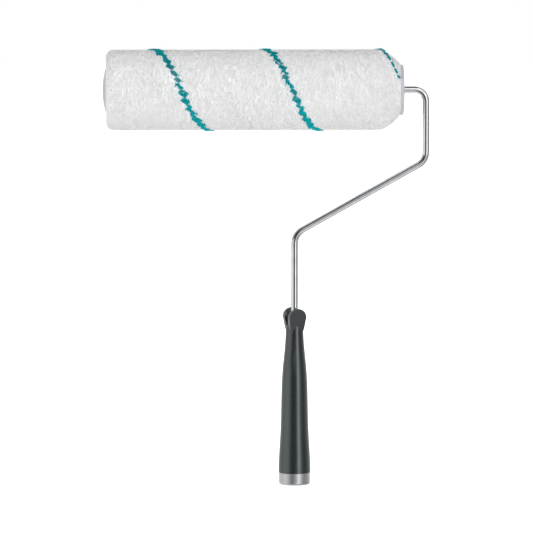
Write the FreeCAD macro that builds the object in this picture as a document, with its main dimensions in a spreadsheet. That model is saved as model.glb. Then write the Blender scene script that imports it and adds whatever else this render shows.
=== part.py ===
import FreeCAD, Part
import Sketcher

import math
import os
import re

# A hand paint roller: a plush microfibre sleeve that spins on a bent wire frame, and a tapered
# plastic handle with a metal ferrule and a socket for an extension pole.
# Frame: +Z up along the handle, +X along the spindle towards the bend, -Y the face that is shown.
# Origin: centre of the mouth of the pole socket, at the foot of the handle. All sizes are in mm.

SIZES = (
    ("axis_height", 337.0, "spindle axis above the foot of the handle"),
    ("rod_radius", 3.0, "the whole frame is one 6 mm wire"),
    ("leg_offset", 111.6, "upper leg of the wire from the handle axis"),
    ("upper_knee_height", 276.5, "where upper leg and diagonal would meet"),
    ("lower_knee_height", 214.0, "where diagonal and lower leg would meet"),
    ("top_bend_radius", 10.0, "centre line of the bend beside the sleeve"),
    ("knee_bend_radius", 13.0, "centre line of the two knees"),
    ("shank_foot", 62.0, "lower end of the wire, inside the grip"),
    ("spindle_tip", -153.0, "free end of the wire, inside the sleeve"),
    ("tip_chamfer", 0.8, "lead-in at the free end"),
    ("clip_left", -148.5, "left face of the retaining clip"),
    ("clip_thickness", 0.6, "sheet of the retaining clip"),
    ("clip_outer_radius", 6.0, "retaining clip"),
    ("clip_mouth", 3.6, "open side of the clip, pushed over the groove"),
    ("groove_radius", 2.3, "bottom of the clip groove"),
    ("groove_play", 0.05, "each side of the clip in its groove"),
    ("crimp_left", 93.2, "left face of the crimped stop"),
    ("crimp_length", 5.4, "crimped stop along the spindle"),
    ("crimp_reach", 3.8, "how far its ear reaches behind the spindle axis"),
    ("crimp_height", 2.4, "thickness of that ear"),
    ("running_radius", 3.05, "bore of both bushes, a running fit on the wire"),
    ("bush_radius", 4.98, "barrel of both bushes"),
    ("bush_collar_radius", 6.6, "collar of both bushes"),
    ("bush_collar", 0.95, "thickness of that collar"),
    ("washer_radius", 5.8, "outside of both thrust washers"),
    ("washer_bore", 3.1, "hole of both thrust washers"),
    ("washer_thickness", 0.7, "both thrust washers"),
    ("washer_play", 0.1, "free play at each face of a washer"),
    ("pile_left", -160.0, "left end of the fabric"),
    ("sleeve_right", 89.4, "right end of fabric and core"),
    ("core_left", -158.5, "left end of the core tube"),
    ("core_radius", 21.7, "outside of the core tube"),
    ("core_wall", 1.8, "wall of the core tube"),
    ("pile_bore", 21.75, "inside of the fabric, glued to the core"),
    ("pile_radius", 34.2, "outside of the fabric"),
    ("pile_left_round", 6.4, "rounding of the left rim of the fabric"),
    ("bevel_length", 16.0, "sheared bevel at the right rim, along the axis"),
    ("bevel_curve", 42.0, "radius of that bevel's bulging face"),
    ("flange_radius", 21.6, "rim of both end caps"),
    ("outer_dome", 3.6, "height of the closed cap's dome"),
    ("outer_rim", 1.0, "thickness of the closed cap at its rim"),
    ("inner_rim", 2.8, "thickness of the open cap at its rim"),
    ("inner_dome", 0.9, "rise of the open cap towards its hole"),
    ("inner_curve", 160.0, "radius of the open cap's face"),
    ("rim_round", 1.1, "rounding of the open cap's rim"),
    ("skirt_radius", 19.85, "plug of both caps inside the core"),
    ("skirt_wall", 2.0, "wall of that plug"),
    ("skirt_length", 12.0, "depth of that plug"),
    ("hub_radius", 8.0, "barrels that carry the bushes"),
    ("hub_bore", 5.0, "bore of those barrels"),
    ("inner_hub_left", 76.0, "inner end of the open cap's barrel"),
    ("spider_left", -146.0, "left face of the bearing spider"),
    ("spider_length", 8.0, "bearing spider along the axis"),
    ("spider_web", 2.0, "disc between barrel and rim of the spider"),
    ("guide_bore", 8.05, "inside of the guide tube"),
    ("guide_wall", 1.0, "wall of the guide tube"),
    ("guide_right", 84.0, "right end of the guide tube"),
    ("yarn_pitch", 93.5, "advance of the marker yarn in one turn"),
    ("yarn_phase", -118.6, "place along the axis where the yarn crosses the top"),
    ("yarn_width", 4.0, "marker yarn along the axis"),
    ("yarn_height", 0.5, "how far the marker yarn stands proud"),
    ("yarn_lift", 0.05, "gap under the marker yarn"),
    ("yarn_left", -157.0, "first point of the yarn"),
    ("yarn_right", 70.0, "last point of the yarn"),
    ("ferrule_radius", 13.3, "outside of the metal ferrule"),
    ("ferrule_height", 10.4, "ferrule along the handle"),
    ("ferrule_wall", 1.0, "sheet of the ferrule's side"),
    ("ferrule_lip", 1.2, "turned-in foot of the ferrule"),
    ("ferrule_round", 1.7, "rounding of the foot"),
    ("ferrule_edge", 0.45, "rounding of the ferrule's upper edge"),
    ("socket_radius", 9.0, "bore that takes the pole"),
    ("socket_depth", 38.0, "depth of that bore"),
    ("insert_radius", 10.45, "outside of the socket insert"),
    ("insert_length", 40.0, "length of the socket insert"),
    ("fit_gap", 0.05, "clearance between pieces pushed together"),
    ("ear_top", 151.0, "top of both ears"),
    ("ear_radius", 7.55, "round end of an ear seen from the front"),
    ("ear_spread", 10.2, "outer face of an ear from the middle of the slot"),
    ("ear_foot_width", 10.6, "width of an ear where it starts inside the grip"),
    ("ear_foot_depth", 6.0, "how far below the neck an ear starts"),
    ("ear_foot_spread", 6.0, "outer face of an ear at that level"),
    ("ear_run_out", 22.0, "height over which the ears grow out of the neck"),
    ("neck_radius", 7.5, "thinnest place of the grip"),
    ("neck_height", 133.5, "level of that place"),
    ("slot_width", 7.0, "gap between the ears at its round bottom"),
    ("slot_mouth", 13.8, "gap between the ears at their tops"),
    ("slot_foot", 140.0, "centre of the slot's round bottom"),
    ("ear_edge", 0.8, "rounding of the ears' outer edges"),
    ("handle_turn", 17.5, "handle twisted about its own axis on the wire, in degrees"),
)

# Outline of the grip between its shoulder and its neck, as pairs of level and radius.
GRIP_PROFILE = (
    (10.45, 13.65),
    (22.0, 13.35),
    (44.0, 12.1),
    (72.0, 11.35),
    (99.5, 10.15),
    (115.0, 8.6),
    (133.5, 7.5),
)

PARTS = []

doc = FreeCAD.newDocument("paint_roller")
sheet = doc.addObject("Spreadsheet::Sheet", "Sizes")


# ---- sizes, sketches and turned bodies ----


def fill_sheet():
    """Writes every driving size with its alias and its meaning."""
    for row, (alias, value, meaning) in enumerate(SIZES, start=1):
        sheet.set("A%d" % row, alias)
        sheet.set("B%d" % row, str(value))
        sheet.set("C%d" % row, meaning)
        sheet.setAlias("B%d" % row, alias)
    doc.recompute()


def size(name):
    return float(getattr(sheet, name))


def named(text):
    """Puts the sheet's name before each alias of a formula."""
    for alias in sorted((alias for alias, _, _ in SIZES), key=len):
        text = re.sub(r"(?<![.\w])%s(?!\w)" % alias, "Sizes." + alias, text)
    return text


def value_of(text):
    """The number that a formula over the sheet stands for."""
    found = sheet.evalExpression(named(text))
    return float(getattr(found, "Value", found))


def bind(part, **formulas):
    """Drives properties of an object; in a keyword two underscores stand for a dot."""
    for name, text in formulas.items():
        part.setExpression(name.replace("__", "."), named(text))


def keep(part, label):
    part.Label = label
    PARTS.append(part)
    return part


def plane_of(body, role):
    for feature in body.Origin.OriginFeatures:
        if getattr(feature, "Role", "") == role:
            return feature
    raise ValueError(role)


def sketch_on(body, role):
    sketch = body.newObject("Sketcher::SketchObject", "Sketch")
    sketch.AttachmentSupport = [(plane_of(body, role), "")]
    sketch.MapMode = "FlatFace"
    return sketch


def arc_between(start, stop, radius):
    """The shorter arc between two points: it bulges to the left of the way from start to stop,
    or to the right when the radius is negative. It is drawn counter-clockwise, as sketches need."""
    chord = stop - start
    left = FreeCAD.Vector(-chord.y, chord.x, 0).normalize()
    rise = abs(radius) - math.sqrt(radius**2 - (chord.Length / 2) ** 2)
    top = (start + stop) / 2 + left * math.copysign(rise, radius)
    return Part.Arc(stop, top, start) if radius > 0 else Part.Arc(start, top, stop)


def draw_chain(sketch, spots, arcs, closed):
    """Draws edges from spot to spot, arcs where a radius is given for the edge's number, and
    returns for each edge which of its ends is the first one (1 or 2)."""
    first_end = []
    for index in range(len(spots) if closed else len(spots) - 1):
        start = spots[index]
        stop = spots[(index + 1) % len(spots)]
        if index in arcs:
            sketch.addGeometry(arc_between(start, stop, arcs[index]))
        else:
            sketch.addGeometry(Part.LineSegment(start, stop))
        forward = sketch.Geometry[index].StartPoint.distanceToPoint(start) < 1e-6
        first_end.append(1 if forward else 2)
    return first_end


def tie(sketch, kind, *where, formula):
    """Adds one measured constraint and drives it by a formula."""
    number = sketch.addConstraint(Sketcher.Constraint(kind, *where, value_of(formula)))
    sketch.setExpression("Constraints[%d]" % number, named(formula))


def tie_point(sketch, edge, end, across, up):
    """Ties an end of an edge to two formulas; the formula 0 puts it on that axis."""
    for kind, axis, formula in (("DistanceX", -2, across), ("DistanceY", -1, up)):
        if formula == "0":
            sketch.addConstraint(Sketcher.Constraint("PointOnObject", edge, end, axis))
        else:
            tie(sketch, kind, -1, 1, edge, end, formula=formula)


def outline(sketch, corners, arcs):
    """Draws a closed outline through corners given as pairs of formulas. arcs gives a formula for
    the radius of the edge that leaves a corner."""
    spots = [FreeCAD.Vector(value_of(across), value_of(up), 0) for across, up in corners]
    radii = {index: value_of(formula) for index, formula in arcs.items()}
    first_end = draw_chain(sketch, spots, radii, closed=True)
    for index, first in enumerate(first_end):
        following = (index + 1) % len(spots)
        ends = (index, 3 - first, following, first_end[following])
        sketch.addConstraint(Sketcher.Constraint("Coincident", *ends))
        tie_point(sketch, index, first, *corners[index])
    for index, formula in arcs.items():
        tie(sketch, "Radius", index, formula=formula)


def turned(label, corners, arcs=None, upright=False):
    """A body of revolution whose corners are pairs (along the axis, radius). The axis is the
    spindle, or the handle's own axis when upright."""
    body = doc.addObject("PartDesign::Body", label)
    sketch = sketch_on(body, "XZ_Plane")
    if upright:
        corners = [(radius, along) for along, radius in corners]
    outline(sketch, corners, arcs or {})
    doc.recompute()
    spun = body.newObject("PartDesign::Revolution", "Revolution")
    spun.Profile = sketch
    spun.ReferenceAxis = (sketch, ["V_Axis" if upright else "H_Axis"])
    spun.Angle = 360.0
    if not upright:
        bind(body, Placement__Base__z="axis_height")
    doc.recompute()
    return keep(body, label)


def ring(label, left, right, inner, outer):
    """A plain tube or washer round the spindle."""
    return turned(label, [(left, inner), (left, outer), (right, outer), (right, inner)])


def round_edges(body, kind, test, **formulas):
    """Adds a fillet or a chamfer to the edges of the body that pass the test."""
    last = body.Tip
    chosen = ["Edge%d" % n for n, edge in enumerate(last.Shape.Edges, start=1) if test(edge)]
    feature = body.newObject("PartDesign::" + kind, kind)
    feature.Base = (last, chosen)
    bind(feature, **formulas)
    doc.recompute()
    return feature


def circle_at(axis, place, radius):
    """A test for circular edges of one radius, centred at one place along x or z."""

    def test(edge):
        curve = edge.Curve
        if not isinstance(curve, Part.Circle):
            return False
        return abs(curve.Radius - radius) < 1e-3 and abs(getattr(curve.Center, axis) - place) < 1e-3

    return test


# ---- the wire frame and what sits on it ----


KNEE_CUT = (
    "knee_bend_radius * tan( 45 deg - atan( ( upper_knee_height - lower_knee_height )"
    " / leg_offset ) / 2 )"
)


def wire_path(body):
    """Centre line of the wire: spindle, top bend, upper leg, knee, diagonal, knee, lower leg."""
    sketch = sketch_on(body, "XZ_Plane")
    leg = size("leg_offset")
    upper = size("upper_knee_height")
    lower = size("lower_knee_height")
    height = size("axis_height")
    top = size("top_bend_radius")
    knee = size("knee_bend_radius")
    cut = value_of(KNEE_CUT)
    uphill = FreeCAD.Vector(leg, upper - lower, 0).normalize()
    spots = [
        FreeCAD.Vector(size("spindle_tip"), height, 0),
        FreeCAD.Vector(leg - top, height, 0),
        FreeCAD.Vector(leg, height - top, 0),
        FreeCAD.Vector(leg, upper + cut, 0),
        FreeCAD.Vector(leg, upper, 0) - uphill * cut,
        FreeCAD.Vector(0, lower, 0) + uphill * cut,
        FreeCAD.Vector(0, lower - cut, 0),
        FreeCAD.Vector(0, size("shank_foot"), 0),
    ]
    spindle, upper_leg, lower_leg = 0, 2, 6
    first_end = draw_chain(sketch, spots, {1: top, 3: knee, 5: -knee}, closed=False)
    for index in range(6):
        ends = (index, 3 - first_end[index], index + 1, first_end[index + 1])
        sketch.addConstraint(Sketcher.Constraint("Tangent", *ends))
    sketch.addConstraint(Sketcher.Constraint("Horizontal", spindle))
    sketch.addConstraint(Sketcher.Constraint("Vertical", upper_leg))
    sketch.addConstraint(Sketcher.Constraint("Vertical", lower_leg))
    tie_point(sketch, spindle, 1, "spindle_tip", "axis_height")
    tie_point(sketch, upper_leg, 2, "leg_offset", "upper_knee_height + " + KNEE_CUT)
    tie(sketch, "DistanceY", -1, 1, lower_leg, 1, formula="lower_knee_height - " + KNEE_CUT)
    tie_point(sketch, lower_leg, 2, "0", "shank_foot")
    tie(sketch, "Radius", 1, formula="top_bend_radius")
    tie(sketch, "Radius", 3, formula="knee_bend_radius")
    tie(sketch, "Radius", 5, formula="knee_bend_radius")
    return sketch


def cut_clip_groove(body):
    """Turns the groove for the retaining clip into the free end of the spindle."""
    sketch = sketch_on(body, "XZ_Plane")
    bind(sketch, AttachmentOffset__Base__y="axis_height")
    doc.recompute()
    left = "clip_left - groove_play"
    right = "clip_left + clip_thickness + groove_play"
    outer = "rod_radius + 1"
    corners = [(left, "groove_radius"), (left, outer), (right, outer), (right, "groove_radius")]
    outline(sketch, corners, {})
    doc.recompute()
    groove = body.newObject("PartDesign::Groove", "ClipGroove")
    groove.Profile = sketch
    groove.ReferenceAxis = (sketch, ["H_Axis"])
    groove.Angle = 360.0
    doc.recompute()


def squeeze_stop(body):
    """Adds the ear at the back, squeezed out of the wire to stop the sleeve."""
    ear = body.newObject("PartDesign::AdditiveBox", "CrimpedStop")
    bind(
        ear,
        Length="crimp_length",
        Width="crimp_reach",
        Height="crimp_height",
        AttachmentOffset__Base__x="crimp_left",
        AttachmentOffset__Base__z="axis_height - crimp_height / 2",
    )
    ear.AttachmentSupport = [(plane_of(body, "XY_Plane"), "")]
    ear.MapMode = "FlatFace"
    doc.recompute()


def make_frame_rod():
    body = doc.addObject("PartDesign::Body", "frame_rod")
    path = wire_path(body)
    section = sketch_on(body, "XY_Plane")
    bind(section, AttachmentOffset__Base__z="shank_foot")
    section.addGeometry(Part.Circle(FreeCAD.Vector(), FreeCAD.Vector(0, 0, 1), 1.0))
    section.addConstraint(Sketcher.Constraint("Coincident", 0, 3, -1, 1))
    tie(section, "Radius", 0, formula="rod_radius")
    doc.recompute()
    pipe = body.newObject("PartDesign::AdditivePipe", "Wire")
    pipe.Profile = section
    pipe.Spine = (path, [])
    doc.recompute()
    tip = circle_at("x", size("spindle_tip"), size("rod_radius"))
    round_edges(body, "Chamfer", tip, Size="tip_chamfer")
    cut_clip_groove(body)
    squeeze_stop(body)
    keep(body, "frame_rod")


def make_retaining_clip():
    """A flat ring with an open side, pushed over the groove near the free end."""
    disc = doc.addObject("Part::Cylinder", "ClipDisc")
    bind(disc, Radius="clip_outer_radius", Height="clip_thickness")
    hole = doc.addObject("Part::Cylinder", "ClipHole")
    bind(hole, Radius="groove_radius + fit_gap", Height="clip_thickness")
    mouth = doc.addObject("Part::Box", "ClipMouth")
    bind(
        mouth,
        Length="clip_outer_radius + 1",
        Width="clip_mouth",
        Height="clip_thickness",
        Placement__Base__y="-1 * clip_mouth / 2",
    )
    taken = doc.addObject("Part::MultiFuse", "ClipOpening")
    taken.Shapes = [hole, mouth]
    clip = doc.addObject("Part::Cut", "Clip")
    clip.Base = disc
    clip.Tool = taken
    clip.Placement = FreeCAD.Placement(
        FreeCAD.Vector(), FreeCAD.Rotation(FreeCAD.Vector(0, 1, 0), 90)
    )
    bind(clip, Placement__Base__x="clip_left", Placement__Base__z="axis_height")
    keep(clip, "retaining_clip")


def make_washers():
    """Two thin discs: one between spider bush and clip, one between cap bush and crimped stop."""
    left = "clip_left + clip_thickness + washer_play"
    ring("outer_thrust_washer", left, left + " + washer_thickness", "washer_bore", "washer_radius")
    right = "crimp_left - washer_play"
    ring("inner_thrust_washer", right + " - washer_thickness", right, "washer_bore", "washer_radius")


# ---- the sleeve that turns ----


# Floor of the recess in the open cap: washer, collar and their clearances fit in front of it.
INNER_COLLAR_LEFT = "crimp_left - 2 * washer_play - washer_thickness - bush_collar - fit_gap"


def make_core_and_pile():
    core_bore = "core_radius - core_wall"
    ring("core_tube", "core_left", "sleeve_right", core_bore, "core_radius")
    fabric = turned(
        "pile_fabric",
        [
            ("pile_left", "pile_bore"),
            ("pile_left", "pile_radius"),
            ("sleeve_right - bevel_length", "pile_radius"),
            ("sleeve_right", "pile_bore"),
        ],
        {2: "bevel_curve"},
    )
    rim = circle_at("x", size("pile_left"), size("pile_radius"))
    round_edges(fabric, "Fillet", rim, Radius="pile_left_round")


def make_marker_yarn():
    """A flat yarn wound on the pile as a right-handed helix about the spindle."""
    pitch = size("yarn_pitch")
    inner = size("pile_radius") + size("yarn_lift")
    outer = inner + size("yarn_height")
    half = size("yarn_width") / 2
    length = size("yarn_right") - size("yarn_left")
    spine = Part.makeHelix(pitch, length, (inner + outer) / 2)
    flat = [(inner, -half), (outer, -half), (outer, half), (inner, half), (inner, -half)]
    section = Part.makePolygon([FreeCAD.Vector(radius, 0, along) for radius, along in flat])
    yarn = doc.addObject("Part::Feature", "MarkerYarn")
    yarn.Shape = Part.Wire(spine).makePipeShell([section], True, True)
    start_angle = (size("yarn_left") - size("yarn_phase")) / pitch * 360
    along_spindle = FreeCAD.Rotation(
        FreeCAD.Vector(0, 0, 1), FreeCAD.Vector(0, -1, 0), FreeCAD.Vector(1, 0, 0), "ZXY"
    )
    about_axis = FreeCAD.Rotation(FreeCAD.Vector(0, 0, 1), start_angle)
    place = FreeCAD.Vector(size("yarn_left"), 0, size("axis_height"))
    yarn.Placement = FreeCAD.Placement(place, along_spindle * about_axis)
    keep(yarn, "marker_yarn")


def make_outer_cap():
    """The closed cap at the free end: a dome with a plug inside the core tube."""
    skirt_end = "core_left + skirt_length"
    skirt_bore = "skirt_radius - skirt_wall"
    dome_top = "core_left - outer_rim - outer_dome"
    rise = "( ( flange_radius * flange_radius + outer_dome * outer_dome ) / ( 2 * outer_dome ) )"
    turned(
        "outer_end_cap",
        [
            (dome_top, "0"),
            ("core_left - outer_rim", "flange_radius"),
            ("core_left", "flange_radius"),
            ("core_left", "skirt_radius"),
            (skirt_end, "skirt_radius"),
            (skirt_end, skirt_bore),
            ("core_left", skirt_bore),
            ("core_left", "0"),
        ],
        {0: rise},
    )


def make_inner_cap():
    """The open cap beside the bend: flange, plug, and the barrel that carries a bush. The bush's
    collar and a washer lie sunk in its face."""
    skirt_end = "sleeve_right - skirt_length"
    skirt_bore = "skirt_radius - skirt_wall"
    recess = "bush_collar_radius + fit_gap"
    body = turned(
        "inner_end_cap",
        [
            ("inner_hub_left", "hub_bore"),
            ("inner_hub_left", "hub_radius"),
            ("sleeve_right", "hub_radius"),
            ("sleeve_right", skirt_bore),
            (skirt_end, skirt_bore),
            (skirt_end, "skirt_radius"),
            ("sleeve_right", "skirt_radius"),
            ("sleeve_right", "flange_radius"),
            ("sleeve_right + inner_rim", "flange_radius"),
            ("sleeve_right + inner_rim + inner_dome", recess),
            (INNER_COLLAR_LEFT, recess),
            (INNER_COLLAR_LEFT, "hub_bore"),
        ],
        {8: "inner_curve"},
    )
    rim = circle_at("x", size("sleeve_right") + size("inner_rim"), size("flange_radius"))
    round_edges(body, "Fillet", rim, Radius="rim_round")


def make_spider():
    """The disc inside the core that carries the spindle's free end."""
    left = "spider_left"
    right = "spider_left + spider_length"
    web_left = "spider_left + ( spider_length - spider_web ) / 2"
    web_right = "spider_left + ( spider_length + spider_web ) / 2"
    rim_bore = "skirt_radius - skirt_wall"
    turned(
        "bearing_spider",
        [
            (left, "hub_bore"),
            (left, "hub_radius"),
            (web_left, "hub_radius"),
            (web_left, rim_bore),
            (left, rim_bore),
            (left, "skirt_radius"),
            (right, "skirt_radius"),
            (right, rim_bore),
            (web_right, rim_bore),
            (web_right, "hub_radius"),
            (right, "hub_radius"),
            (right, "hub_bore"),
        ],
    )


def make_bushes():
    """A collared bush in the spider, collar to the left, and one in the open cap, collar right."""
    left = "spider_left - fit_gap"
    turned(
        "outer_bearing_bush",
        [
            (left + " - bush_collar", "running_radius"),
            (left + " - bush_collar", "bush_collar_radius"),
            (left, "bush_collar_radius"),
            (left, "bush_radius"),
            ("spider_left + spider_length", "bush_radius"),
            ("spider_left + spider_length", "running_radius"),
        ],
    )
    right = INNER_COLLAR_LEFT + " + fit_gap"
    turned(
        "inner_bearing_bush",
        [
            ("inner_hub_left", "running_radius"),
            ("inner_hub_left", "bush_radius"),
            (right, "bush_radius"),
            (right, "bush_collar_radius"),
            (right + " + bush_collar", "bush_collar_radius"),
            (right + " + bush_collar", "running_radius"),
        ],
    )


def make_guide_tube():
    """The tube that leads the wire from the open cap to the spider when it is pushed in."""
    left = "spider_left + ( spider_length + spider_web ) / 2 + fit_gap"
    ring("spindle_guide_tube", left, "guide_right", "guide_bore", "guide_bore + guide_wall")


# ---- the handle ----


def revolve_upright(face):
    return face.revolve(FreeCAD.Vector(), FreeCAD.Vector(0, 0, 1), 360)


def grip_barrel():
    """The round part of the grip: a spigot inside the ferrule, then a smooth taper to the neck."""
    curve = Part.BSplineCurve()
    curve.interpolate([FreeCAD.Vector(radius, 0, level) for level, radius in GRIP_PROFILE])
    neck_top = FreeCAD.Vector(size("neck_radius"), 0, size("slot_foot") + size("slot_width"))
    spigot = size("ferrule_radius") - size("ferrule_wall") - size("fit_gap")
    floor = size("ferrule_lip") + size("fit_gap")
    shoulder = GRIP_PROFILE[0][0]
    way = [
        curve.value(curve.LastParameter),
        neck_top,
        FreeCAD.Vector(0, 0, neck_top.z),
        FreeCAD.Vector(0, 0, floor),
        FreeCAD.Vector(spigot, 0, floor),
        FreeCAD.Vector(spigot, 0, shoulder),
        curve.value(curve.FirstParameter),
    ]
    lines = [Part.LineSegment(a, b).toShape() for a, b in zip(way, way[1:], strict=False)]
    return revolve_upright(Part.Face(Part.Wire([curve.toShape()] + lines)))


def prism(outline_points, shift):
    """A flat outline of points, pushed along a vector."""
    return Part.Face(Part.makePolygon(outline_points + outline_points[:1])).extrude(shift)


def rounded(shape, radius, test):
    return shape.makeFillet(radius, [edge for edge in shape.Edges if test(edge)])


def ear_front_view():
    """A disc on a stem that narrows downwards, as deep as both ears, with softened rims."""
    radius = size("ear_radius")
    spread = size("ear_spread")
    centre = size("ear_top") - radius
    foot = size("neck_height") - size("ear_foot_depth")
    half_foot = size("ear_foot_width") / 2
    taper = math.atan((radius - half_foot) / (centre - foot))
    shoulder = radius * math.cos(taper)
    level = centre - radius * math.sin(taper)
    depth = FreeCAD.Vector(0, 2 * spread, 0)
    coin = Part.makeCylinder(radius, 2 * spread, FreeCAD.Vector(0, -spread, centre), depth)
    coin = rounded(coin, size("ear_edge"), lambda edge: edge.Length > 6 * radius)
    front = [(-half_foot, foot), (half_foot, foot), (shoulder, level), (-shoulder, level)]
    stem = prism([FreeCAD.Vector(across, -spread, up) for across, up in front], depth)

    def is_flank(edge):
        box = edge.BoundBox
        return box.ZLength > 1 and box.YLength < 1e-3

    stem = rounded(stem, size("ear_edge"), is_flank)
    return coin.fuse(stem)


def grip_ears():
    """Both ears in one block: the front view, cut by a flared side view and by a cone that lets
    the foot of the ears run out into the round neck."""
    spread = size("ear_spread")
    narrow = size("ear_foot_spread")
    foot = size("neck_height") - size("ear_foot_depth")
    run_out = size("ear_run_out")
    top = size("ear_top")
    wide = size("ear_radius") + spread
    side = [(-narrow, foot), (narrow, foot), (spread, top), (-spread, top)]
    corners = [FreeCAD.Vector(-wide, across, level) for across, level in side]
    flared = prism(corners, FreeCAD.Vector(2 * wide, 0, 0))
    cone = Part.makeCone(narrow, wide, run_out, FreeCAD.Vector(0, 0, foot))
    above = Part.makeCylinder(wide, run_out, FreeCAD.Vector(0, 0, foot + run_out))
    return ear_front_view().common(flared).common(cone.fuse(above)).removeSplitter()


def make_grip():
    """The moulded grip with its slot, the blind hole for the wire and the pole recess."""
    slot_radius = size("slot_width") / 2
    slot_foot = size("slot_foot")
    mouth = size("slot_mouth") / 2
    top = size("ear_top")
    wide = 2 * size("ear_radius")
    across = FreeCAD.Vector(1, 0, 0)
    slot = Part.makeCylinder(slot_radius, 2 * wide, FreeCAD.Vector(-wide, 0, slot_foot), across)
    flare = [(-slot_radius, slot_foot), (slot_radius, slot_foot), (mouth, top), (-mouth, top)]
    throat = prism([FreeCAD.Vector(-wide, out, up) for out, up in flare], across * 2 * wide)
    wire_hole = Part.makeCylinder(
        size("rod_radius"), 100, FreeCAD.Vector(0, 0, size("shank_foot") - size("fit_gap"))
    )
    recess = Part.makeCylinder(
        size("insert_radius") + size("fit_gap"), size("insert_length") + size("fit_gap")
    )
    solid = grip_barrel().fuse(grip_ears())
    solid = solid.cut(slot.fuse(throat)).cut(wire_hole).cut(recess).removeSplitter()
    grip = doc.addObject("Part::Feature", "Grip")
    grip.Shape = solid
    grip.Placement = FreeCAD.Placement(
        FreeCAD.Vector(), FreeCAD.Rotation(FreeCAD.Vector(0, 0, 1), size("handle_turn"))
    )
    keep(grip, "handle_grip")


def make_ferrule():
    """The metal band round the foot of the grip, turned in below it."""
    side_bore = "ferrule_radius - ferrule_wall"
    mouth = "insert_radius + fit_gap"
    body = turned(
        "handle_ferrule",
        [
            ("0", mouth),
            ("0", "ferrule_radius"),
            ("ferrule_height", "ferrule_radius"),
            ("ferrule_height", side_bore),
            ("ferrule_lip", side_bore),
            ("ferrule_lip", mouth),
        ],
        upright=True,
    )
    foot = circle_at("z", 0.0, size("ferrule_radius"))
    round_edges(body, "Fillet", foot, Radius="ferrule_round")
    edge = circle_at("z", size("ferrule_height"), size("ferrule_radius"))
    round_edges(body, "Fillet", edge, Radius="ferrule_edge")


def make_socket_insert():
    """The liner in the foot of the handle whose blind bore takes an extension pole."""
    turned(
        "pole_socket_insert",
        [
            ("0", "socket_radius"),
            ("0", "insert_radius"),
            ("insert_length", "insert_radius"),
            ("insert_length", "0"),
            ("socket_depth", "0"),
            ("socket_depth", "socket_radius"),
        ],
        upright=True,
    )


def check_document():
    """Stops when an object failed to build or a part is not one sound solid."""
    for item in doc.Objects:
        if "Invalid" in item.State or "Error" in item.State:
            raise RuntimeError("%s: %s" % (item.Name, item.State))
    for part in PARTS:
        shape = part.Shape
        if shape.isNull() or not shape.isValid() or len(shape.Solids) != 1:
            raise RuntimeError("%s is not one valid solid" % part.Label)


def write_parts():
    os.makedirs("parts", exist_ok=True)
    for part in PARTS:
        part.Shape.exportStep("parts/%s.step" % part.Label)
        box = part.Shape.BoundBox
        print("%-22s %9.1f mm3  x %.1f..%.1f  y %.1f..%.1f  z %.1f..%.1f" % (
            part.Label, part.Shape.Volume,
            box.XMin, box.XMax, box.YMin, box.YMax, box.ZMin, box.ZMax,
        ))


fill_sheet()
make_frame_rod()
make_retaining_clip()
make_washers()
make_core_and_pile()
make_marker_yarn()
make_outer_cap()
make_inner_cap()
make_spider()
make_bushes()
make_guide_tube()
make_grip()
make_ferrule()
make_socket_insert()
doc.recompute()
check_document()
write_parts()
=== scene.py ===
import math

import bpy
import numpy as np
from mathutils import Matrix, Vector, kdtree, noise


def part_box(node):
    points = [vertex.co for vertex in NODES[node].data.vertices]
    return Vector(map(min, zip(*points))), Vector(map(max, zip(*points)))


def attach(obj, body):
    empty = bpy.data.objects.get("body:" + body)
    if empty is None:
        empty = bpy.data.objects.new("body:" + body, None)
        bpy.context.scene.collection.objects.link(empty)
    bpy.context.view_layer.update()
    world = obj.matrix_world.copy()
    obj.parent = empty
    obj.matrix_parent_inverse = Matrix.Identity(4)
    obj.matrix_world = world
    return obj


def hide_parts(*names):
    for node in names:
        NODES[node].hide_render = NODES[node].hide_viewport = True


# A hand paint roller around its CAD pieces: they get their materials, the plush fabric and its
# marker yarn are built from strands, and a plain studio stands around them.
# +X runs along the spindle towards the bend, -Y is the side that is shown, +Z is up.

MM = 0.001
SEED = 20417

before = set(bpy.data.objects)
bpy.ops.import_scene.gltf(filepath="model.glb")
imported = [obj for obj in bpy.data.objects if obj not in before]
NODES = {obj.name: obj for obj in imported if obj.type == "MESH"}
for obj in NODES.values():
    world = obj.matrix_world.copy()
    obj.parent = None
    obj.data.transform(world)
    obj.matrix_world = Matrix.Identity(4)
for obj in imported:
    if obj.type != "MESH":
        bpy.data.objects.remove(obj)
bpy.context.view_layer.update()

# ---- places read from the CAD boxes ----

PILE_LOW, PILE_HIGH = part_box("pile_fabric")
AXIS_Z = (PILE_LOW[2] + PILE_HIGH[2]) / 2
PILE_R = (PILE_HIGH[1] - PILE_LOW[1]) / 2
PILE_LEFT = PILE_LOW[0]
PILE_RIGHT = PILE_HIGH[0]
CORE_R = (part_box("core_tube")[1][1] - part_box("core_tube")[0][1]) / 2

# ---- sizes of the sleeve that its boxes do not tell, as in the CAD ----

FABRIC_OFF_CORE = 0.1 * MM
ROUND_LEFT = 6.4 * MM
BEVEL_LENGTH = 16 * MM
BEVEL_CURVE = 42 * MM
YARN_PITCH = 93.5 * MM
YARN_PHASE = -118.6 * MM

# ---- the knitted ground ----

FOOT_SINK = 1.1 * MM  # it lies this far below the CAD's skin
GROUND_STEP = 1.1 * MM  # its faces along the skin
GROUND_SIDES = 200  # its faces once round the sleeve
STREAK_ALONG, STREAK_ROUND, STREAK_DEPTH = 2.2 * MM, 5 * MM, 0.25 * MM
LUMP_SIZE, LUMP_DEPTH = 9 * MM, 0.12 * MM
LUMP_SHIFT = 40  # takes the lumps from another place of the noise than the streaks

# ---- every strand ----

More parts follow.
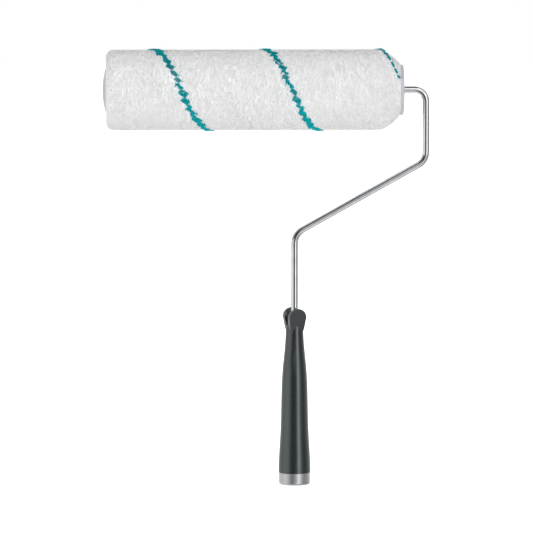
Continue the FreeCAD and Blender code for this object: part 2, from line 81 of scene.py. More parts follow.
STRAND_STEPS = 3
STRAND_SIDES = 3
STRAND_TAPER = 0.55
STRAND_BEND = 1.6  # this power keeps a strand upright at its root and bends it at its tip
ROOT_SINK = 0.3 * MM  # roots lie this much deeper than the ground

# ---- strands of the pile; ranges are in millimetres, from and to ----

PILE_ROWS = 0.80 * MM  # from one row round the sleeve to the next
PILE_GAP = 0.88 * MM  # from one strand of a row to the next
PILE_SCATTER_ROUND = 0.9  # share of that gap by which a strand may be moved
PILE_SCATTER_ALONG = (-0.5, 0.5)
PILE_HEIGHT = (1.3, 1.55)
PILE_REACH = (1.6, 3.6)  # how far the tip leans over
PILE_RADIUS = (0.18, 0.32)  # at the root; a strand stands for many hairs
PILE_TURN, PILE_TURN_SPREAD = 0.12, 0.24  # away from the way round the sleeve, in radians
TUFT_SIZE = np.array([2.4, 6.0, 6.0]) * MM  # strands this near each other lean alike
TUFT_TURN, TUFT_HEIGHT = 0.5, 0.15  # what a tuft adds to their turn and to their height
BACKWARD_SHARE = 0.07
STRANDS_IN_PIECE = 11000  # keeps a piece below the exporter's limit of triangles
# The last shade, a bluish grey, is painted shade: strands beside the taller marker yarn get it at
# random.
PILE_SHADES = {
    "bright": (0.905, 0.905, 0.898),
    "plain": (0.885, 0.885, 0.88),
    "shaded": (0.82, 0.825, 0.835),
    "painted_shade": (0.42, 0.48, 0.55),
}
PILE_SHARES = (0.46, 0.40, 0.14)  # of all shades but the last, which is painted shade beside the yarn
# Which shade is the painted shade beside the yarn, and the share of the strands there that get it.
PAINTED_SHADE, PAINTED_SHADE_SHARE = 3, 0.10
CLEAR_OF_YARN = 0.95 * MM
BESIDE_YARN = 6 * MM
BESIDE_REACH = 0.6  # the reach of strands beside the yarn is cut to this share

# ---- strands of the marker yarn; ranges are in millimetres, from and to ----

YARN_ROWS = 0.25 * MM
YARN_OFF_CORE, YARN_OFF_LEFT = 0.8 * MM, 0.5 * MM
YARN_LAG = 20  # degrees by which it falls behind its helix near the right end
LAG_FROM, LAG_TO = 38 * MM, 18 * MM  # from that end
CATCH_UP = 5  # degrees that it gains again
CATCH_UP_FROM, CATCH_UP_RUN = 15 * MM, 14 * MM
YARN_HEIGHT = (1.5, 2.5)
YARN_REACH = (0.4, 1.1)
YARN_RADIUS = (0.27, 0.46)
YARN_TURN, YARN_TURN_SPREAD = 0.35, 0.6
YARN_PIECES = 2
YARN_SHADES = {
    "plain": (0.0, 0.420, 0.457),
    "deep": (0.0, 0.290, 0.322),
    "light": (0.006, 0.550, 0.585),
}
YARN_SHARES = (0.5, 0.25, 0.25)
YARN_SHEEN, YARN_GLOSS = 0.0, 0.15

# Half is half the width of a clump, and density its strands on a square millimetre of long x half.
CLUMP_KINDS = {"leaf": 0.66, "ring": 0.06, "bent": 0.28}
CLUMP = {"long": (4.5, 7.5), "half": (2.7, 3.8), "gap": (0.1, 1.1), "density": 12}
DASH = {"long": (2.5, 5.5), "half": (0.8, 1.1), "gap": (0.8, 2.2), "density": 19}
CLUMP_DRIFT = 0.6
CLUMP_SLANT = (0.0, 1.8)
CLUMP_NECK = 0.08  # share of its width that a clump keeps at its ends
CLUMP_SWELL = 0.8  # this power moves its widest place towards its start
RING_HOLE = 0.5  # share of its half width
BENT_HALF = 0.45  # bent clumps are narrower by this factor
BENT_CURL = (0.8, 1.3)
FLICK_SHARE, FLICK_STRANDS = 0.6, 16
FLICK_START = (0.3, 0.8)  # share of the clump's length
FLICK_FOOT = 0.7  # share of the clump's half width
FLICK_LONG, FLICK_OUT, FLICK_ROOM = 1.6, 1.7, 0.3


# ---- material helpers ----


class Tree:
    """Adds and links the nodes of one node tree."""

    def __init__(self, tree):
        self.tree = tree

    def add(self, kind, values=None, **settings):
        node = self.tree.nodes.new(kind)
        for key, value in settings.items():
            setattr(node, key, value)
        for key, value in (values or {}).items():
            node.inputs[key].default_value = value
        return node

    def link(self, source, target):
        self.tree.links.new(source, target)

    def feed(self, socket, value):
        """Gives a socket a number, or links it to another node's output."""
        if isinstance(value, (int, float)):
            socket.default_value = value
        else:
            self.link(value, socket)

    def ramp(self, fac, stops, interpolation="LINEAR"):
        node = self.add("ShaderNodeValToRGB")
        ramp = node.color_ramp
        ramp.interpolation = interpolation
        while len(ramp.elements) < len(stops):
            ramp.elements.new(0.5)
        for element, (at, colour) in zip(ramp.elements, stops):
            element.position = at
            element.color = (*colour, 1)
        self.link(fac, node.inputs["Fac"])
        return node.outputs["Color"]

    def remap(self, fac, low, high, to_low=0.0, to_high=1.0, interpolation="LINEAR"):
        node = self.add(
            "ShaderNodeMapRange",
            {"From Min": low, "From Max": high, "To Min": to_low, "To Max": to_high},
            interpolation_type=interpolation,
        )
        self.link(fac, node.inputs["Value"])
        return node.outputs["Result"]

    def step(self, value, low, high):
        """0 at low, 1 at high, and smooth between."""
        return self.remap(value, low, high, interpolation="SMOOTHSTEP")

    def maths(self, operation, a, b=0):
        node = self.add("ShaderNodeMath", operation=operation)
        self.feed(node.inputs[0], a)
        self.feed(node.inputs[1], b)
        return node.outputs[0]

    def blend(self, fac, a, b):
        node = self.add("ShaderNodeMix", data_type="FLOAT")
        self.link(fac, node.inputs["Factor"])
        self.feed(node.inputs["A"], a)
        self.feed(node.inputs["B"], b)
        return node.outputs["Result"]


class Look(Tree):
    """One material and the nodes that feed its shader."""

    def __init__(self, name):
        self.material = bpy.data.materials.new(name)
        self.material.use_nodes = True
        super().__init__(self.material.node_tree)
        self.shader = self.tree.nodes["Principled BSDF"]

    def set(self, **values):
        for key, value in values.items():
            self.shader.inputs[key.replace("_", " ")].default_value = value

    def drive(self, name, source):
        self.link(source, self.shader.inputs[name])

    def coords(self, scale=(1, 1, 1)):
        place = self.add("ShaderNodeTexCoord")
        mapping = self.add("ShaderNodeMapping", {"Scale": scale})
        self.link(place.outputs["Object"], mapping.inputs["Vector"])
        return mapping.outputs["Vector"]

    def noise(self, vector, scale, detail=4.0, rough=0.55):
        values = {"Scale": scale, "Detail": detail, "Roughness": rough}
        node = self.add("ShaderNodeTexNoise", values)
        self.link(vector, node.inputs["Vector"])
        return node.outputs["Fac"]

    def bump(self, height, strength, distance):
        node = self.add("ShaderNodeBump", {"Strength": strength, "Distance": distance})
        self.link(height, node.inputs["Height"])
        return node.outputs["Normal"]


def grey(value):
    return (value, value, value)


def chrome():
    mat = Look("bright_plated_wire")
    mat.set(Metallic=1.0)
    where = mat.coords()
    cloud = mat.noise(where, scale=900, detail=3.0)
    patches = mat.noise(where, scale=160, detail=2.0)
    dark, light = (0.74, 0.75, 0.77), (0.84, 0.85, 0.87)
    mat.drive("Base Color", mat.ramp(patches, [(0.3, dark), (0.7, light)]))
    mat.drive("Roughness", mat.remap(cloud, 0.3, 0.7, to_low=0.07, to_high=0.16))
    mat.drive("Normal", mat.bump(cloud, strength=0.06, distance=0.2 * MM))
    return mat.material


def grip_plastic():
    mat = Look("grained_black_plastic")
    mat.set(IOR=1.6, Specular_IOR_Level=1.0, Specular_Tint=(0.93, 1.0, 1.0, 1))
    where = mat.coords()
    grain = mat.noise(where, scale=2300, detail=3.0, rough=0.6)
    mottle = mat.noise(where, scale=420, detail=3.0)
    dark, light = (0.009, 0.0125, 0.0135), (0.014, 0.0185, 0.0195)
    mat.drive("Base Color", mat.ramp(mottle, [(0.32, dark), (0.70, light)]))
    mat.drive("Roughness", mat.remap(grain, 0.35, 0.65, to_low=0.14, to_high=0.23))
    mat.drive("Normal", mat.bump(grain, strength=0.15, distance=0.1 * MM))
    return mat.material


def brushed_steel():
    """Fine lines that run round the ferrule."""
    mat = Look("brushed_ferrule_steel")
    mat.set(Metallic=0.9)
    lines = mat.noise(mat.coords((40, 40, 2600)), scale=1.0, rough=0.6)
    dark, light = (0.54, 0.555, 0.57), (0.61, 0.625, 0.64)
    mat.drive("Base Color", mat.ramp(lines, [(0.3, dark), (0.7, light)]))
    mat.drive("Roughness", mat.remap(lines, 0.3, 0.7, to_low=0.26, to_high=0.32))
    mat.drive("Normal", mat.bump(lines, strength=0.06, distance=0.1 * MM))
    return mat.material


def smooth_plastic(name, light, dark, roughness, vary=0.06):
    mat = Look(name)
    mat.set(Specular_IOR_Level=0.5)
    where = mat.coords()
    cloud = mat.noise(where, scale=260)
    grain = mat.noise(where, scale=2340, detail=2.0)
    rough = mat.remap(cloud, 0.3, 0.7, to_low=roughness - vary, to_high=roughness + vary)
    mat.drive("Base Color", mat.ramp(cloud, [(0.3, dark), (0.7, light)]))
    mat.drive("Roughness", rough)
    mat.drive("Normal", mat.bump(grain, strength=0.12, distance=0.1 * MM))
    return mat.material


def knitted_ground():
    """The fabric under the fibre tips: white, mottled, with short streaks round the sleeve."""
    mat = Look("microfibre_ground")
    mat.set(Roughness=0.95, Sheen_Weight=0.25, Sheen_Roughness=0.6)
    streaks = mat.noise(mat.coords((900, 260, 260)), scale=1.0, detail=5.0, rough=0.6)
    clouds = mat.noise(mat.coords(), scale=70, detail=3.0)
    tone = mat.ramp(streaks, [(0.28, (0.72, 0.725, 0.73)), (0.62, (0.90, 0.90, 0.90))])
    shade = mat.ramp(clouds, [(0.25, (0.93, 0.94, 0.96)), (0.65, (1.0, 1.0, 1.0))])
    mix = mat.add("ShaderNodeMix", {"Factor": 1.0}, data_type="RGBA", blend_type="MULTIPLY")
    mat.link(tone, mix.inputs["A"])
    mat.link(shade, mix.inputs["B"])
    mat.drive("Base Color", mix.outputs["Result"])
    mat.drive("Normal", mat.bump(streaks, strength=0.5, distance=0.6 * MM))
    return mat.material


def fibre(name, colour, sheen=0.2, gloss=0.5):
    """One shade of fibre. The strands are too fine to carry a pattern, so several shades mix."""
    mat = Look(name)
    mat.set(Base_Color=(*colour, 1), Roughness=0.85, Specular_IOR_Level=gloss)
    mat.set(Sheen_Weight=sheen, Sheen_Roughness=0.5)
    return mat.material


# ---- the plush sleeve ----


def sleeve_profile(step):
    """Points along the skin from the core at the left end to the core at the right end, as rows of
    (x, radius, outward x, outward radius), about one step apart."""
    rows = []
    left, right, outer, inner = PILE_LEFT, PILE_RIGHT, PILE_R, CORE_R + FABRIC_OFF_CORE

    def run(start, stop, normal):
        length = math.dist(start, stop)
        count = max(1, round(length / step))
        for k in range(count):
            f = k / count
            rows.append((
                start[0] + (stop[0] - start[0]) * f, start[1] + (stop[1] - start[1]) * f, *normal
            ))

    def arc(centre, radius, a, b):
        count = max(2, round(abs(b - a) * radius / step))
        for k in range(count):
            angle = a + (b - a) * k / count
            rows.append((
                centre[0] + radius * math.cos(angle), centre[1] + radius * math.sin(angle),
                math.cos(angle), math.sin(angle),
            ))

    run((left, inner), (left, outer - ROUND_LEFT), (-1, 0))
    arc((left + ROUND_LEFT, outer - ROUND_LEFT), ROUND_LEFT, math.pi, math.pi / 2)
    run((left + ROUND_LEFT, outer), (right - BEVEL_LENGTH, outer), (0, 1))
    start = Vector((right - BEVEL_LENGTH, outer))
    stop = Vector((right, inner))
    chord = stop - start
    away = Vector((-chord.y, chord.x)).normalized()
    drop = math.sqrt(BEVEL_CURVE**2 - (chord.length / 2) ** 2)
    centre = (start + stop) / 2 - away * drop
    a = math.atan2(start.y - centre.y, start.x - centre.x)
    b = math.atan2(stop.y - centre.y, stop.x - centre.x)
    arc((centre.x, centre.y), BEVEL_CURVE, a, b)
    rows.append((right, inner, math.cos(b), math.sin(b)))
    return np.array(rows)


def around(x, radius, angle):
    """A point of the sleeve: angle 0 is the top, a quarter turn is the side that is shown."""
    return np.stack([x, -radius * np.sin(angle), AXIS_Z + radius * np.cos(angle)], axis=-1)


def smooth_step(x, start, stop):
    f = np.clip((x - start) / (stop - start), 0, 1)
    return f * f * (3 - 2 * f)


def yarn_angle(x):
    """Angle of the marker yarn at a place along the axis. It lags behind near the bevel."""
    angle = (x - YARN_PHASE) / YARN_PITCH * 2 * math.pi
    lag = YARN_LAG * smooth_step(x, PILE_RIGHT - LAG_FROM, PILE_RIGHT - LAG_TO)
    catch_up = CATCH_UP * np.clip((x - PILE_RIGHT + CATCH_UP_FROM) / CATCH_UP_RUN, 0, 1)
    return angle - np.radians(lag - catch_up)


def yarn_distance(x, angle):
    """How far, along the axis, a point lies from the nearest turn of the marker yarn."""
    turns = (angle - yarn_angle(x)) / (2 * math.pi)
    return np.abs(turns - np.round(turns)) * YARN_PITCH


def new_object(mesh, materials):
    """Shows a mesh as a piece of the sleeve."""
    obj = bpy.data.objects.new(mesh.name, mesh)
    bpy.context.scene.collection.objects.link(obj)
    for material in materials:
        mesh.materials.append(material)
    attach(obj, "sleeve")
    return obj


def make_ground(material):
    """The skin under the tips, pushed in and out by noise that runs round the sleeve."""
    rows = sleeve_profile(GROUND_STEP)
    angles = np.arange(GROUND_SIDES) * 2 * math.pi / GROUND_SIDES
    verts = []
    for x, radius, out_x, out_r in rows:
        for angle in angles:
            c, s = math.cos(angle), math.sin(angle)
            u, v = c * radius, s * radius
            streak = noise.noise(Vector((x / STREAK_ALONG, u / STREAK_ROUND, v / STREAK_ROUND)))
            lump = noise.noise(Vector((x / LUMP_SIZE + LUMP_SHIFT, u / LUMP_SIZE, v / LUMP_SIZE)))
            deep = FOOT_SINK - STREAK_DEPTH * streak - LUMP_DEPTH * lump
            px, pr = x - out_x * deep, radius - out_r * deep
            verts.append((px, -pr * s, AXIS_Z + pr * c))
    faces = []
    for this in range(0, (len(rows) - 1) * GROUND_SIDES, GROUND_SIDES):
        next_row = this + GROUND_SIDES
        for k in range(GROUND_SIDES):
            after = (k + 1) % GROUND_SIDES
            faces.append((this + k, this + after, next_row + after, next_row + k))
    mesh = bpy.data.meshes.new("pile_ground")
    mesh.from_pydata(verts, [], faces)
    mesh.polygons.foreach_set("use_smooth", [True] * len(mesh.polygons))
    mesh.update()
    return new_object(mesh, [material])


def scaled(vectors, lengths):
    """Each vector times a length of its own."""
    return vectors * lengths[:, None]


def strand_mesh(name, root, normal, lean, height, reach, thick, shade):
    """One mesh of many short tapered strands: each rises along its normal, bends over and has
    the material of its shade's number. Thick is a strand's radius at its root."""
    count = len(root)
    side = np.cross(normal, lean)
    side /= np.linalg.norm(side, axis=1, keepdims=True)
    points = []
    for k in range(STRAND_STEPS):
        t = k / STRAND_STEPS
        rise = scaled(normal, height * math.sin(t * math.pi / 2))
        centre = root + rise + scaled(lean, reach * t**STRAND_BEND)
        radius = thick * (1 - STRAND_TAPER * t)
        for corner in range(STRAND_SIDES):
            a = math.pi / 2 + corner * 2 * math.pi / STRAND_SIDES
            across = scaled(side, radius * math.cos(a))
            points.append(centre + across + scaled(normal, radius * math.sin(a)))
    points.append(root + scaled(normal, height) + scaled(lean, reach))
    verts = np.stack(points, axis=1).reshape(-1, 3)
    verts[:, 0] = np.minimum(verts[:, 0], PILE_RIGHT)  # the strands stay out of the bend's way

    corners = [(k, (k + 1) % STRAND_SIDES) for k in range(STRAND_SIDES)]
    last = STRAND_SIDES * (STRAND_STEPS - 1)
    quads = [
        (low + k, low + after, low + STRAND_SIDES + after, low + STRAND_SIDES + k)
        for low in range(0, last, STRAND_SIDES)
        for k, after in corners
    ]
    tris = [(last + k, last + after, last + STRAND_SIDES) for k, after in corners]
    pattern = np.concatenate([np.ravel(quads), np.ravel(tris)])
    loops = (np.arange(count)[:, None] * len(points) + pattern).ravel()
    sizes = np.tile([4] * len(quads) + [3] * len(tris), count)
    starts = np.concatenate([[0], np.cumsum(sizes)[:-1]])
    shades = np.repeat(shade, len(quads) + len(tris))

    mesh = bpy.data.meshes.new(name)
    mesh.vertices.add(len(verts))
    mesh.vertices.foreach_set("co", verts.astype(np.float32).ravel())
    mesh.loops.add(len(loops))
    mesh.loops.foreach_set("vertex_index", loops.astype(np.int32))
    mesh.polygons.add(len(sizes))
    mesh.polygons.foreach_set("loop_start", starts.astype(np.int32))
    mesh.polygons.foreach_set("material_index", shades.astype(np.int32))
    mesh.polygons.foreach_set("use_smooth", np.ones(len(sizes), dtype=bool))
    mesh.update(calc_edges=True)
    return mesh


def sleeve_frame(rows, index, angle):
    """Places and local directions on the skin for strands rooted at rows[index] and an angle."""
    x, radius, out_x, out_r = rows[index].T
    s, c = np.sin(angle), np.cos(angle)
    normal = np.stack([out_x, -out_r * s, out_r * c], axis=-1)
    along = np.stack([out_r, out_x * s, -out_x * c], axis=-1)
    round_way = np.stack([np.zeros_like(s), -c, -s], axis=-1)
    root = around(x, radius, angle) - normal * (FOOT_SINK + ROOT_SINK)
    return root, normal, along, round_way


def clear_of(points, others, gap):
    """True for each point that has none of the others nearer than the gap."""
    tree = kdtree.KDTree(len(others))
    for number, other in enumerate(others):
        tree.insert(other, number)
    tree.balance()
    return np.array([tree.find(point)[2] > gap for point in points])


def make_pile(random, marker_roots):
    """White strands all over the sleeve, in several pieces, none where the marker stands; some
    strands beside it carry painted shade.
    """
    rows = sleeve_profile(PILE_ROWS)
    index, angle = [], []
    for row, radius in enumerate(rows[:, 1]):
        count = int(2 * math.pi * radius / PILE_GAP)
        index.append(np.full(count, row))
        places = np.arange(count) + random.uniform(0, 1, count) * PILE_SCATTER_ROUND
        angle.append(places * 2 * math.pi / count)
    index = np.concatenate(index)
    angle = np.concatenate(angle)
    root, normal, along, round_way = sleeve_frame(rows, index, angle)
    root = root + scaled(along, random.uniform(*PILE_SCATTER_ALONG, len(index)) * MM)
    beside = yarn_distance(root[:, 0], angle) < BESIDE_YARN
    free = np.ones(len(index), dtype=bool)
    free[beside] = clear_of(root[beside], marker_roots, CLEAR_OF_YARN)
    order = random.permutation(np.nonzero(free)[0])
    shades = [fibre("pile_fibre_" + name, colour) for name, colour in PILE_SHADES.items()]
    for number, start in enumerate(range(0, len(order), STRANDS_IN_PIECE)):
        part = order[start:start + STRANDS_IN_PIECE]
        count = len(part)
        comb = np.array([noise.noise(Vector(spot)) for spot in root[part] / TUFT_SIZE])
        turn = PILE_TURN + TUFT_TURN * comb + random.normal(0, PILE_TURN_SPREAD, count)
        way = np.where(random.uniform(0, 1, count) < BACKWARD_SHARE, -1.0, 1.0)
        lean = scaled(round_way[part], np.cos(turn) * way) + scaled(along[part], np.sin(turn))
        height = (random.uniform(*PILE_HEIGHT, count) + TUFT_HEIGHT * comb) * MM
        reach = random.uniform(*PILE_REACH, count) * MM
        reach[beside[part]] *= BESIDE_REACH
        thick = random.uniform(*PILE_RADIUS, count) * MM
        shade = random.choice(len(PILE_SHARES), count, p=PILE_SHARES)
        # Painted shade: some strands beside the yarn take the bluish grey shade.
        shade[beside[part] & (random.uniform(0, 1, count) < PAINTED_SHADE_SHARE)] = PAINTED_SHADE
        name = "pile_tufts_%d" % number
        mesh = strand_mesh(name, root[part], normal[part], lean, height, reach, thick, shade)
        new_object(mesh, shades)


def marker_clumps(random, length, dashes_from):
    """Strand roots of the chain of clumps: pairs of distance along the yarn and offset to the
    side. Most clumps are leaves that point down to the right, some are rings or bent, and some
    have a loose flick at the side; beyond dashes_from the yarn shows only as dashes."""
    spots = []
    at = 0.0
    while at < length:
        dashed = at > dashes_from
        sort = DASH if dashed else CLUMP
        kind = random.choice(list(CLUMP_KINDS), p=list(CLUMP_KINDS.values()))
        long = random.uniform(*sort["long"])
        half = random.uniform(*sort["half"])
        gap = random.uniform(*sort["gap"])
        drift = 0 if dashed else random.normal(0, CLUMP_DRIFT)
        slant = 0 if dashed else random.uniform(*CLUMP_SLANT)
        curl = random.choice([-1, 1]) * random.uniform(*BENT_CURL)
        for _ in range(int(long * half * sort["density"])):
            f = random.uniform(0, 1)
            side = random.uniform(-1, 1)
            swell = math.sin(math.pi * f**CLUMP_SWELL)
            if kind == "ring" and not dashed:
                side = math.copysign(random.uniform(RING_HOLE, 1), side)
            off = drift + side * half * max(CLUMP_NECK, swell) + slant * (f - 0.5)
            if kind == "bent":
                off = drift + side * half * BENT_HALF + curl * math.sin(2 * math.pi * f)
            spots.append((at + f * long * MM, off * MM))
        if not dashed and random.uniform(0, 1) < FLICK_SHARE:
            side = random.choice([-1, 1])
            start = at + random.uniform(*FLICK_START) * long * MM
            for _ in range(FLICK_STRANDS):
                f = random.uniform(0, 1)
                room = random.uniform(-FLICK_ROOM, FLICK_ROOM) * (1 - f)
                off = drift + side * (half * FLICK_FOOT + FLICK_OUT * f) + room
                spots.append((start + f * FLICK_LONG * MM, off * MM))
        at += (long + gap) * MM
    return np.array(spots)


def distances(points):
    """How far each point lies from the first, measured along all points between."""
    return np.concatenate([[0], np.cumsum(np.linalg.norm(np.diff(points, axis=0), axis=1))])


def make_marker(random):
    """The turquoise yarn in a few pieces: gives the first, and the roots of all its strands."""
    rows = sleeve_profile(YARN_ROWS)
    off_core = rows[:, 1] > CORE_R + YARN_OFF_CORE
    off_left = rows[:, 0] > PILE_LEFT + YARN_OFF_LEFT
    rows = rows[off_core & off_left]
    angles = yarn_angle(rows[:, 0])
    way = distances(around(rows[:, 0], rows[:, 1], angles))
    skin = distances(rows[:, :2])
    bevel = way[np.searchsorted(rows[:, 0], PILE_RIGHT - BEVEL_LENGTH)]
    spots = marker_clumps(random, way[-1], bevel)
    at = np.interp(spots[:, 0], way, np.arange(len(way)))
    angle = np.interp(at, np.arange(len(way)), angles)
    place = np.interp(at, np.arange(len(way)), skin) + spots[:, 1]
    index = np.clip(np.searchsorted(skin, place), 0, len(rows) - 1)
    root, normal, along, round_way = sleeve_frame(rows, index, angle)
    count = len(root)
    turn = random.normal(YARN_TURN, YARN_TURN_SPREAD, count)
    lean = scaled(round_way, np.cos(turn)) + scaled(along, np.sin(turn))
    height = random.uniform(*YARN_HEIGHT, count) * MM
    reach = random.uniform(*YARN_REACH, count) * MM
    thick = random.uniform(*YARN_RADIUS, count) * MM
    shade = random.choice(len(YARN_SHARES), count, p=YARN_SHARES)
    shades = [
        fibre("marker_fibre_" + name, colour, YARN_SHEEN, YARN_GLOSS)
        for name, colour in YARN_SHADES.items()
    ]
    pieces = []
    for number, part in enumerate(np.array_split(np.arange(count), YARN_PIECES)):
        mesh = strand_mesh(
            "marker_tufts_%d" % number, root[part], normal[part], lean[part], height[part],
            reach[part], thick[part], shade[part],
        )
        pieces.append(new_object(mesh, shades))
    return pieces[0], root


# ---- stage, light and camera ----

FLOOR_HALF = 6.0


def make_floor():
    corners = [(x * FLOOR_HALF, y * FLOOR_HALF, 0) for x, y in ((-1, -1), (1, -1), (1, 1), (-1, 1))]
    mesh = bpy.data.meshes.new("floor")
    mesh.from_pydata(corners, [], [(0, 1, 2, 3)])
    obj = bpy.data.objects.new("floor", mesh)
    bpy.context.scene.collection.objects.link(obj)
    mat = Look("pale_floor")
    mat.set(Base_Color=(0.9, 0.9, 0.9, 1), Roughness=0.9, Specular_IOR_Level=0.1)
    mat.set(Emission_Color=(1, 1, 1, 1), Emission_Strength=0.55)
    mesh.materials.append(mat.material)
    obj.visible_glossy = False
    obj.visible_diffuse = False


# What shiny surfaces reflect at the height of the object, by direction in degrees from the front,
# turning towards +X: pale walls, a dark flag at the front left, a soft box at the front right
# with another flag beside it.
WALLS = (
    (-180, 0.90),
    (-140, 0.80),
    (-110, 0.64),
    (-80, 0.92),
    (-60, 0.95),
    (-48, 0.82),
    (-37, 0.46),
    (-27, 0.16),
    (-12, 0.06),
    (4, 0.07),
    (14, 0.30),
    (23, 1.10),
    (32, 2.20),
    (41, 1.15),
    (50, 0.62),
    (60, 0.28),
    (74, 0.17),
    (90, 0.24),
    (106, 0.42),
    (136, 0.85),
    (180, 0.90),
)
# The same higher up.
HIGH_WALLS = (
    (-180, 0.80),
    (-120, 0.60),
    (-85, 0.55),
    (-68, 0.20),
    (-50, 0.03),
    (-20, 0.02),
    (-10, 0.80),
    (0, 1.15),
    (15, 1.15),
    (55, 1.10),
    (80, 0.70),
    (105, 0.14),
    (130, 0.14),
    (155, 0.70),
    (180, 0.80),
)
# What they reflect from below on the left and on the right, by how much the direction points to
# the front: -1 is straight back, 1 straight to the front.
LOW_LEFT = (
    (-1.0, 1.00),
    (-0.3, 0.95),
    (0.34, 0.80),
    (0.58, 0.40),
    (0.76, 0.13),
    (1.0, 0.10),
)
LOW_RIGHT = (
    (-1.0, 1.00),
    (-0.4, 1.00),
    (0.0, 0.55),
    (0.35, 0.60),
    (0.7, 0.82),
    (0.88, 0.82),
    (1.0, 0.78),
)
LOW_SIDE_REFLECTION = 0.38  # from below at the far right
TOP_REFLECTION = 0.08

# Where one of these passes into the next, as two values of the direction's x or z.
LEFT_TO_RIGHT = (-0.20, 0.20)
RIGHT_TO_SIDE = (0.44, 0.60)
LOW_TO_WALLS = (-0.24, -0.14)
WALLS_TO_HIGH = (0.09, 0.17)
HIGH_TO_TOP = (0.78, 0.90)
TOP_SIDES = (0.40, 0.20)  # the dark top is only a band from front to back
LIFT, LIFTED = 0.14, (0.10, 0.35)  # the high walls start this much higher on the right

SOFT_LIGHT = 1.01  # from all sides
SOFT_LIGHT_TOP = 1.07
SOFT_LIGHT_BELOW = 1.16
SOFT_TO_TOP = (0.10, 0.80)
BELOW_TO_SOFT = (-0.60, -0.10)
KEY_LIGHT = 1.10  # added by broad soft boxes before and behind the object
KEY_EDGE = (0.62, 0.92)


def make_world():
    """A studio with one look for shiny reflections, one for the soft light that falls on
    everything, and plain white for the camera."""
    world = bpy.data.worlds.new("studio")
    world.use_nodes = True
    world.node_tree.nodes.clear()
    sky = Tree(world.node_tree)

    def look_up(value, table):
        """The table's second column looked up by its first, with soft steps."""
        first, last = table[0][0], table[-1][0]
        most = max(strength for _, strength in table)
        stops = [((at - first) / (last - first), grey(strength / most)) for at, strength in table]
        share = sky.maths("DIVIDE", sky.maths("SUBTRACT", value, first), last - first)
        return sky.maths("MULTIPLY", sky.ramp(share, stops, "EASE"), most)

    coords = sky.add("ShaderNodeTexCoord")
    split = sky.add("ShaderNodeSeparateXYZ")
    sky.link(coords.outputs["Generated"], split.inputs[0])
    x, y, z = split.outputs
    front = sky.maths("MULTIPLY", y, -1)
    turn = sky.maths("MULTIPLY", sky.maths("ARCTAN2", x, front), 180 / math.pi)

    left, right = look_up(front, LOW_LEFT), look_up(front, LOW_RIGHT)
    below = sky.blend(sky.step(x, *LEFT_TO_RIGHT), left, right)
    below = sky.blend(sky.step(x, *RIGHT_TO_SIDE), below, LOW_SIDE_REFLECTION)
    lower = sky.blend(sky.step(z, *LOW_TO_WALLS), below, look_up(turn, WALLS))
    middle = sky.step(sky.maths("ABSOLUTE", x), *TOP_SIDES)
    overhead = sky.maths("MULTIPLY", sky.step(z, *HIGH_TO_TOP), middle)
    upper = sky.blend(overhead, look_up(turn, HIGH_WALLS), TOP_REFLECTION)
    lifted = sky.maths("MULTIPLY", sky.step(x, *LIFTED), -LIFT)
    shiny = sky.blend(sky.step(sky.maths("ADD", z, lifted), *WALLS_TO_HIGH), lower, upper)

    soft = sky.blend(sky.step(z, *SOFT_TO_TOP), SOFT_LIGHT, SOFT_LIGHT_TOP)
    soft = sky.blend(sky.step(z, *BELOW_TO_SOFT), SOFT_LIGHT_BELOW, soft)
    key = sky.step(sky.maths("ABSOLUTE", y), *KEY_EDGE)
    soft = sky.maths("ADD", soft, sky.maths("MULTIPLY", key, KEY_LIGHT))

    path = sky.add("ShaderNodeLightPath")
    strength = sky.blend(path.outputs["Is Glossy Ray"], soft, shiny)
    strength = sky.blend(path.outputs["Is Camera Ray"], strength, 1.0)
    background = sky.add("ShaderNodeBackground", {"Color": (1, 1, 1, 1)})
    sky.link(strength, background.inputs["Strength"])
    out = sky.add("ShaderNodeOutputWorld")
    sky.link(background.outputs[0], out.inputs["Surface"])
    bpy.context.scene.world = world


CAMERA_TARGET = Vector((-0.0239, 0.0, 0.1865))
CAMERA_DISTANCE = 5.0
CAMERA_AZIMUTH = math.radians(-1.3)
CAMERA_ELEVATION = math.radians(5.4)
CAMERA_LENS = 397.0
CAMERA_SENSOR = 36.0
CAMERA_CLIP_END = 50


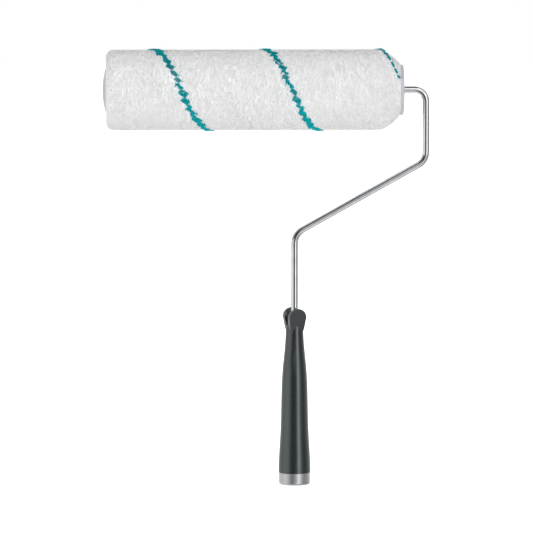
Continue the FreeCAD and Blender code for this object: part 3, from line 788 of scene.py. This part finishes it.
def make_camera():
    data = bpy.data.cameras.new("camera")
    data.sensor_width = CAMERA_SENSOR
    data.lens = CAMERA_LENS
    data.clip_end = CAMERA_CLIP_END
    obj = bpy.data.objects.new("camera", data)
    bpy.context.scene.collection.objects.link(obj)
    back = Vector((
        math.sin(CAMERA_AZIMUTH) * math.cos(CAMERA_ELEVATION),
        -math.cos(CAMERA_AZIMUTH) * math.cos(CAMERA_ELEVATION),
        math.sin(CAMERA_ELEVATION),
    ))
    obj.location = CAMERA_TARGET + back * CAMERA_DISTANCE
    obj.rotation_mode = "QUATERNION"
    obj.rotation_quaternion = (-back).to_track_quat("-Z", "Y")
    bpy.context.scene.camera = obj


# ---- dress the CAD nodes ----


def dress(names, material):
    for name in names:
        mesh = NODES[name].data
        mesh.materials.clear()
        mesh.materials.append(material)


cap_plastic = smooth_plastic("grey_cap_plastic", (0.43, 0.42, 0.465), (0.37, 0.36, 0.40), 0.32)
bearing_plastic = smooth_plastic(
    "natural_bearing_plastic", (0.80, 0.80, 0.78), (0.72, 0.72, 0.70), 0.35
)
socket_plastic = smooth_plastic("dark_socket_plastic", grey(0.05), grey(0.03), 0.5)
tube_plastic = smooth_plastic("core_tube_plastic", grey(0.72), grey(0.64), 0.5)
dress(["frame_rod"], chrome())
dress(["handle_grip"], grip_plastic())
dress(["handle_ferrule", "retaining_clip"], brushed_steel())
dress(["pole_socket_insert"], socket_plastic)
dress(["outer_end_cap", "inner_end_cap", "bearing_spider"], cap_plastic)
dress(["outer_bearing_bush", "inner_bearing_bush"], bearing_plastic)
dress(["outer_thrust_washer", "inner_thrust_washer"], bearing_plastic)
dress(["core_tube", "spindle_guide_tube"], tube_plastic)

random = np.random.default_rng(SEED)
ground = make_ground(knitted_ground())
marker, marker_roots = make_marker(random)
make_pile(random, marker_roots)
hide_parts("pile_fabric")
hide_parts("marker_yarn")
make_floor()
make_world()
make_camera()

scene = bpy.context.scene
scene.view_settings.view_transform = "Standard"
scene.view_settings.look = "None"

bpy.context.view_layer.update()
